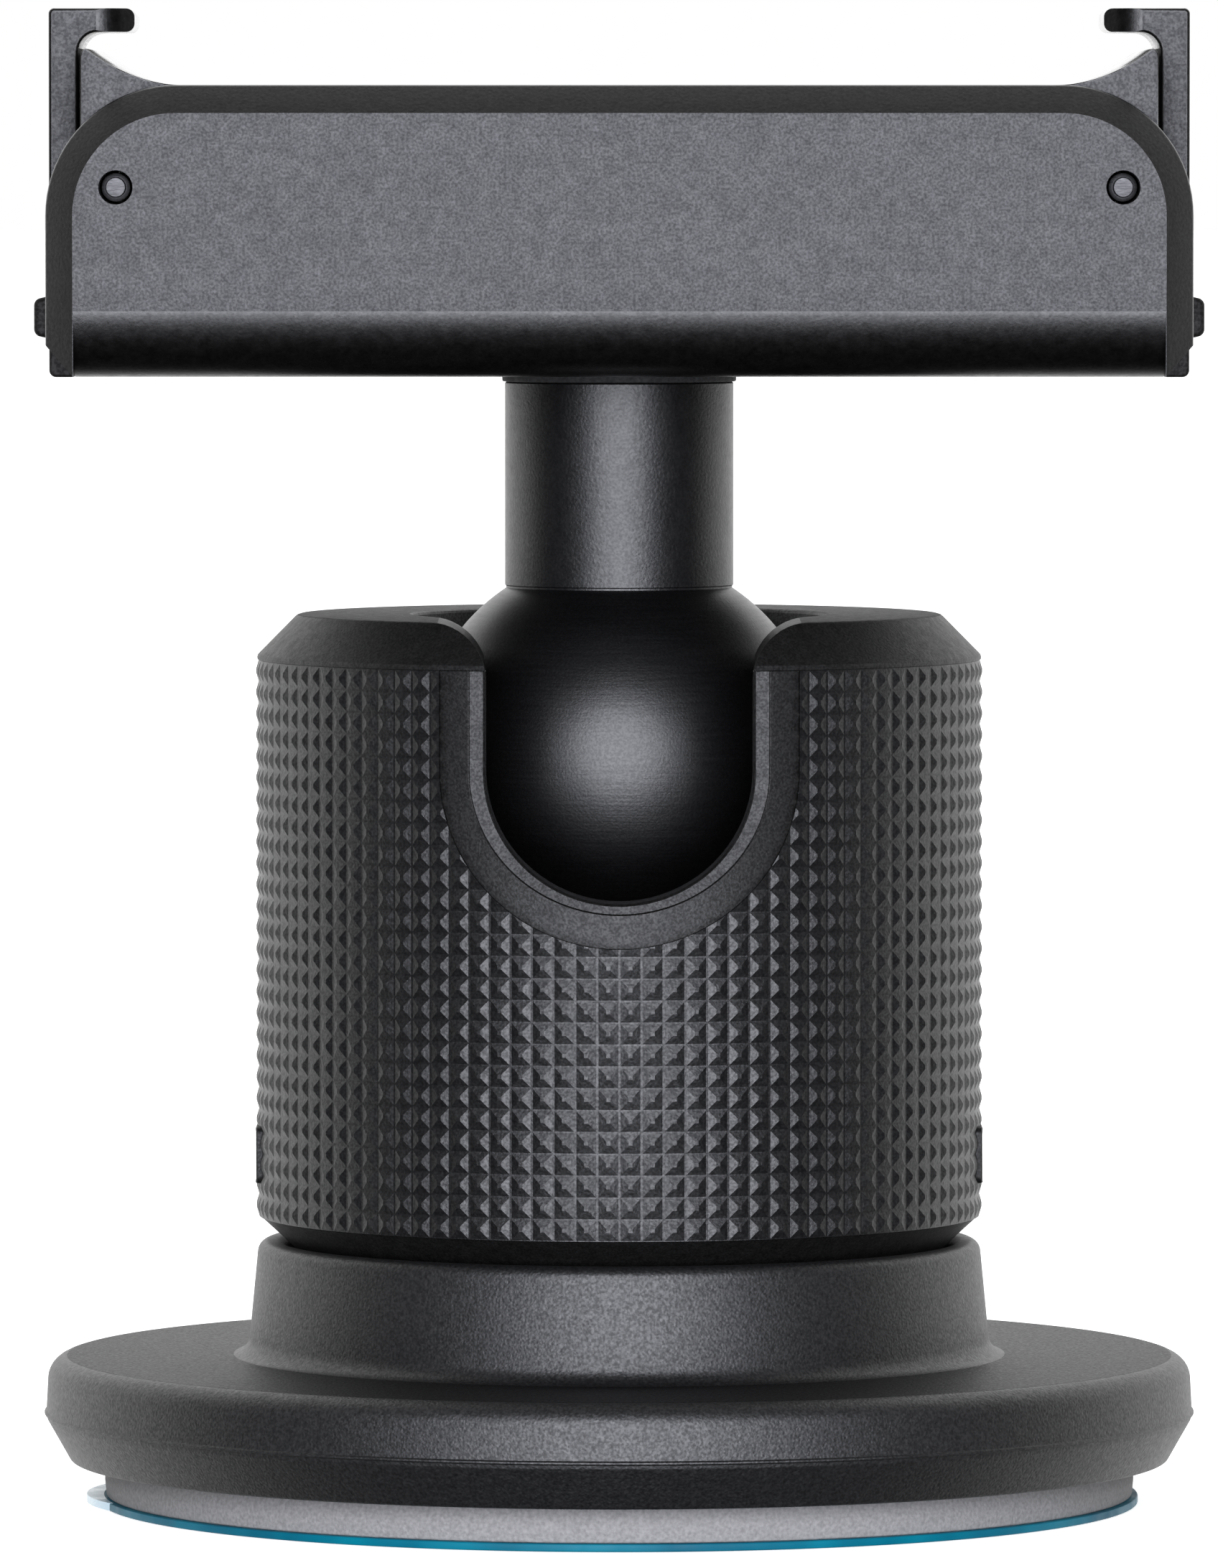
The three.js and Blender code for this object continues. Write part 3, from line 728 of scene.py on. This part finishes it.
def sleeve_pieces():
    sleeve = knurled_sleeve()
    through = slab("through", slot_outline(), -16, -2, "y")
    shallow_loop = [(SLOT_BORDER, KNURL_HIGH + 0.02)]
    shallow_loop += [
        (SLOT_BORDER * math.cos(t), SLOT_Z - SLOT_SQUASH * SLOT_BORDER * math.sin(t))
        for t in [math.pi * k / 60 for k in range(61)]
    ]
    shallow_loop += [(-SLOT_BORDER, KNURL_HIGH + 0.02)]
    shallow = slab("shallow", shallow_loop, -16, -6, "y")
    inner = revolve("inner", [(0, 0), (12.25, 0), (12.25, 40), (0, 40)], 240)
    combine(shallow, [inner])
    combine(sleeve, [through, shallow])

    def pick(face):
        if face.center.z > GRIP_TOP - 0.02:
            return 2
        knurl = KNURL_LOW < face.center.z < KNURL_HIGH and math.hypot(face.center.x, face.center.y) > 12.9
        return 0 if knurl else 1

    placed(sleeve, "sleeve", ["grip_sleeve"], [KNURL, SLEEVE, MATT_AND_SHADE], 9, pick)
    placed(slot_frame(), "sleeve", [], [SLEEVE], 30)
    for side, word in ((1, "right"), (-1, "left")):
        rings = []
        outline = rect(SIDE_PAD_HALF, (SIDE_PAD_HIGH - SIDE_PAD_LOW) / 2, 0.25, 5)
        middle = (SIDE_PAD_HIGH + SIDE_PAD_LOW) / 2
        for r, inset in ((12.9, 0.0), (SIDE_PAD_R - 0.04, 0.0), (SIDE_PAD_R, 0.05)):
            ring = []
            for u, v in offset(outline, inset):
                at = u / SIDE_PAD_R
                ring.append((side * r * math.cos(at), r * math.sin(at), middle + v))
            rings.append(ring)
        placed(loft("sleeve_pad_" + word, rings), "sleeve", [], [SLEEVE], 30)


# ---- ball stud ----
def stem_pieces():
    start = math.asin(NECK_R / BALL_R)
    loop = [(0, BALL_Z - BALL_R)]
    steps = 96
    for k in range(1, steps + 1):
        t = math.pi - (math.pi - start) * k / steps
        loop.append((BALL_R * math.sin(t), BALL_Z + BALL_R * math.cos(t)))
    join = BALL_Z + BALL_R * math.cos(start)
    loop += [(NECK_R - 0.04, join + 0.03), (NECK_R - 0.04, join + 0.1), (NECK_R, join + 0.14)]
    loop += [(NECK_R, NECK_TOP - 0.06), (NECK_R - 0.06, NECK_TOP), (1.95, NECK_TOP), (1.95, 33.5), (0, 33.5)]

    def pick(face):
        return 1 if face.center.z > join + 0.02 else 0

    placed(revolve("ball_stud_skin", loop, 200), "stem", ["ball_stud"], [TURNED, NECK], 35, pick)
    washer = rounded([(2.05, 40.8), (4.25, 40.8, 0.06), (4.25, 41.1, 0.06), (2.05, 41.1)], 4)
    placed(revolve("neck_washer_skin", washer, 128), "stem", ["neck_washer"], [RUBBER], 40)


# ---- head ----
def head_ring(y, inset, arc_steps=20):
    """The head's outline at one depth: inset from the sides and top, its lower corners cut off."""
    low = HEAD_BOTTOM
    side, top = HEAD_X - inset, HEAD_TOP - inset
    radius = HEAD_CORNER_R - inset
    cut = side - SHOULDER_X
    right = [(SHOULDER_X, low), (SHOULDER_X + cut * 0.5, low + cut * 0.55), (side, low + cut * 1.1)]
    right.append((side, SHOULDER_Z))
    for k in range(arc_steps + 1):
        t = math.pi / 2 * k / arc_steps
        right.append((side - radius + radius * math.cos(t), top - radius + radius * math.sin(t)))
    loop = right + [(-x, z) for x, z in reversed(right)]
    return [(x, y, z) for x, z in loop]


def low_cut():
    """What the curved lower bevel takes off the front, between the side bevels."""
    start = 0.18
    curve = []
    for k in range(25):
        t = start + (math.pi / 2 - start) * k / 24
        fall = (1 - math.sin(t)) / (1 - math.sin(start))
        y = LOW_CURVE - HEAD_Y - LOW_CURVE * math.cos(t) / math.cos(start)
        curve.append((y, HEAD_BOTTOM + LOW_BEVEL * fall))
    top = HEAD_BOTTOM + LOW_BEVEL
    return [(LOW_CURVE - HEAD_Y, 40), (-HEAD_Y - 1, 40), (-HEAD_Y - 1, top)] + curve


def head_shell():
    bevel = [(0.0, 1.0), (0.94, 0.06), (0.975, 0.03), (1.02, 0.01), (1.08, 0.0)]
    front = [head_ring(-HEAD_Y + depth, inset) for depth, inset in bevel]
    back = [head_ring(HEAD_Y - depth, inset) for depth, inset in reversed(bevel)]
    shell = loft("head_shell_skin", front + back)
    cuts = [slab("cut", low_cut(), -LOW_CUT_X, LOW_CUT_X, "x")]
    cuts.append(slab("cut", [(-y, z) for y, z in low_cut()], -LOW_CUT_X, LOW_CUT_X, "x"))
    cuts.append(box("cut", -22, 22, -TRAY_Y - 0.1, TRAY_Y + 0.1, TRAY_FLOOR, 54))
    for side in (-1, 1):
        low, high = sorted((side * CLAW_BAY_X, side * 22))
        cuts.append(box("cut", low, high, -CLAW_BAY_Y, CLAW_BAY_Y, 40, 50))
        cuts.append(slab("cut", circle(1.45, side * PIVOT_X, PIVOT_Z), -3.6, 5.7, "y"))
        ends = []
        for y, r in ((-12, 0.64), (-11.0, 0.61), (-10.96, 0.585), (10.96, 0.585), (11.0, 0.61), (12, 0.64)):
            ends.append([(x, y, z) for x, z in circle(r, side * PIVOT_X, PIVOT_Z)])
        cuts.append(loft("cut", ends))
        cuts.append(slab("cut", circle(4.0, side * MAGNET_X, 0), MAGNET_LOW, 50))
    cuts.append(slab("cut", circle(2.05), 40, 46))
    cuts.append(slab("cut", circle(3.6), 45.2, 50))
    well = slab("cut", rect(COVER_X + 0.1, COVER_Y + 0.1, 0.9), 40, COVER_HIGH + 0.05)
    combine(well, [slab("cut", circle(5.2), 39, 46)])
    hollow = box("cut", -12, 12, -7.4, 7.4, 42.3, 44.6)
    combine(hollow, [slab("cut", circle(5.2), 39, 46)])
    cuts += [well, hollow]
    for x, y in COVER_SCREWS:
        cuts.append(slab("cut", circle(0.62, x, y, 20), 42, 45))
    return combine(shell, cuts)


def head_pieces():
    def pick(face):
        return 0 if abs(face.normal.y) > 0.999 and abs(face.center.y) > HEAD_Y - 0.01 else 1

    placed(head_shell(), "head", ["head_shell"], [COAT, EDGE], 24, pick)
    cover = slab("bottom_cover_skin", rect(COVER_X, COVER_Y, 0.8), COVER_LOW, COVER_HIGH, "z", 0.12)
    holes = [slab("cut", circle(COVER_HOLE_R, 0, 0, 96), 40, 43)]
    ring = [(0, 41.25), (0.95, 41.25, 0.1), (1.1, 41.5, 0.1), (1.1, 41.85)]
    ring += [(0.58, 41.86), (0.58, 44.6), (0, 44.6)]
    for number, (x, y) in enumerate(COVER_SCREWS, 1):
        holes.append(slab("cut", circle(0.68, x, y, 24), 41, 43))
        holes.append(slab("cut", circle(1.2, x, y, 32), 41, 41.85))
        screw = revolve("cover_screw_skin_%d" % number, rounded(ring, 4), 40)
        cross = [box("cut", -0.72, 0.72, -0.13, 0.13, 41, 41.55)]
        cross.append(box("cut", -0.13, 0.13, -0.72, 0.72, 41, 41.55))
        combine(screw, cross)
        screw.data.transform(Matrix.Translation((x, y, 0)))
        placed(screw, "head", ["cover_screw_%d" % number], [SCREWS], 30)
    combine(cover, holes)
    placed(cover, "head", ["bottom_cover"], [MOULDED], 30)

    run, peak = TRAY_X - 0.2 - TRAY_FLAT_X, HEAD_TOP + TRAY_RISE
    crest = [(TRAY_FLAT_X + run * t, HEAD_TOP + TRAY_RISE * t * t) for t in [k / 20 for k in range(21)]]
    crest += [(TRAY_X - 0.11, peak - 0.03), (TRAY_X - 0.04, peak - 0.12)]
    crest += [(TRAY_X, peak - 0.3), (TRAY_X, 49.65)]
    loop = crest + [(-x, z) for x, z in reversed(crest)]
    tray = slab("magnet_tray_skin", loop, -TRAY_Y, TRAY_Y, "y", 0.04, 3)
    combine(tray, [slab("cut", rect(SEAT_X, SEAT_Y, 2.0), SEAT_FLOOR, 54)])

    def tray_face(face):
        if abs(face.normal.y) > 0.999:
            return 0
        return 1 if abs(face.normal.x) > 0.9 else 2

    placed(tray, "head", ["magnet_tray"], [COAT, MATT_AND_SHADE, SHINE], 30, tray_face)
    outline = rect(SEAT_X - 0.05, SEAT_Y - 0.05, 1.95)
    pad = slab("seat_pad_skin", outline, SEAT_FLOOR, HEAD_TOP, "z", 0.12)
    placed(pad, "head", ["seat_pad"], [RUBBER], 35)
    for side, word in ((1, "right"), (-1, "left")):
        half = [(0, PIN_END), (0.36, PIN_END, 0.04), (0.36, PIN_END - 0.5), (0.52, PIN_END - 0.55, 0.04)]
        other = [(r, -z, *corner) for r, z, *corner in reversed(half)]
        pin = revolve("hinge_pin_skin_" + word, rounded(half + other, 4), 48)
        pin.data.transform(Matrix.Rotation(math.pi / 2, 4, "X"))
        pin.data.transform(Matrix.Translation((side * PIVOT_X, 0, PIVOT_Z)))
        placed(pin, "head", ["hinge_pin_" + word], [PIN], 30)


# ---- claws ----
def claw(word):
    """The claw on the right side as one piece. Its hook's sides draw in towards the tip."""
    profile = rounded(
        [
            (CLAW_IN, CLAW_LOW, 0.25),
            (CLAW_OUT, CLAW_LOW, 0.25),
            (CLAW_OUT, CLAW_TOP, 0.2),
            (HOOK_TIP, CLAW_TOP, 0.3),
            (HOOK_TIP, CLAW_TOP - HOOK_THICK, 0.3),
            (CLAW_IN, CLAW_TOP - HOOK_THICK, 0.73),
        ],
        8,
    )
    arm = slab("claw_lever_skin_" + word, profile, -CLAW_Y, CLAW_Y, "y", 0.12, 4)
    for sign in (-1, 1):
        wedge = [(17.2, sign * 2.3), (18.4, sign * 3.502, 1.6), (19.4, sign * 3.502)]
        wedge += [(19.4, sign * 5), (17.2, sign * 5)]
        combine(arm, [slab("cut", rounded(wedge, 12), 52.7, 56)])
    web = box("web", PIVOT_X, CLAW_IN + 0.3, -3.45, 3.45, PIVOT_Z - 1.4, PIVOT_Z + 1.4)
    hub = slab("hub", circle(HUB_R, PIVOT_X, PIVOT_Z, 64), -CLAW_Y, CLAW_Y, "y", 0.08, 2)
    combine(arm, [web, hub], "UNION")
    combine(arm, [slab("cut", circle(0.57, PIVOT_X, PIVOT_Z, 40), -5, 5, "y")])
    # the claw is split at CLAW_SHADE_Z; below it claw_pieces gives it the darker matt material, which is
    # painted shade
    bm = bmesh.new()
    bm.from_mesh(arm.data)
    everything = bm.verts[:] + bm.edges[:] + bm.faces[:]
    bmesh.ops.bisect_plane(bm, geom=everything, plane_co=(0, 0, CLAW_SHADE_Z), plane_no=(0, 0, 1))
    bm.to_mesh(arm.data)
    bm.free()
    return arm


def button(word):
    profile = [(BUTTON_IN, 42.35), (BUTTON_OUT, 42.5, 0.28), (BUTTON_OUT, 43.8, 0.28), (BUTTON_IN, 43.95)]
    return slab("release_button_skin_" + word, rounded(profile, 8), -BUTTON_Y, BUTTON_Y, "y", 0.2, 4)


def claw_pieces():
    def pick(face):
        # below CLAW_SHADE_Z the claw takes the darker matt material: painted shade on its lower end
        if face.center.z < CLAW_SHADE_Z:
            return 2
        if abs(face.normal.y) > 0.99:
            return 0
        if abs(face.normal.y) > 0.3:
            return 1
        return 3 if abs(face.center.x) < CLAW_IN - 0.02 else 2

    for word in ("right", "left"):
        lever, press = claw(word), button(word)
        if word == "left":
            for obj in (lever, press):
                obj.data.transform(Matrix.Scale(-1, 4, (1, 0, 0)))
                obj.data.flip_normals()
        placed(lever, "claw_" + word, ["claw_lever_" + word], [COAT, EDGE, MATT_AND_SHADE, SHINE], 28, pick)
        # the release button takes the same darker matt material, painted shade
        placed(press, "claw_" + word, ["release_button_" + word], [MATT_AND_SHADE], 28)


def inner_pieces():
    """The CAD nodes that stay get their materials."""
    for node, material in {
        "base_stud_screw": SCREWS,
        "socket_post": SLEEVE,
        "thrust_washer": SCREWS,
        "lower_seat": NYLON,
        "clamp_sleeve": SLEEVE,
        "upper_seat": NYLON,
        "head_screw": SCREWS,
        "magnet_left": NICKEL,
        "magnet_right": NICKEL,
        "claw_spring_left": SCREWS,
        "claw_spring_right": SCREWS,
    }.items():
        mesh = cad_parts[node].data
        mesh.materials.clear()
        mesh.materials.append(material)


base_pieces()
sleeve_pieces()
stem_pieces()
head_pieces()
claw_pieces()
inner_pieces()


# ---- floor ----
def floor():
    reach, level = 9000, -0.02
    corners = [(-reach, -reach), (reach, -reach), (reach, reach), (-reach, reach)]
    obj = from_lists("floor", [(x, y, level) for x, y in corners], [(0, 1, 2, 3)])
    obj.data.transform(Matrix.Scale(MM, 4))
    material = bpy.data.materials.new("pale_floor")
    material.use_nodes = True
    tree = material.node_tree
    shader = tree.nodes["Principled BSDF"]
    shader.inputs["Base Color"].default_value = (0.8, 0.8, 0.8, 1)
    shader.inputs["Roughness"].default_value = 0.9
    shader.inputs["Specular IOR Level"].default_value = 0.1
    shader.inputs["Emission Color"].default_value = (1, 1, 1, 1)
    shader.inputs["Emission Strength"].default_value = 0.72
    obj.data.materials.append(material)
    obj.visible_glossy = False
    obj.visible_diffuse = False
    obj.visible_shadow = False


floor()
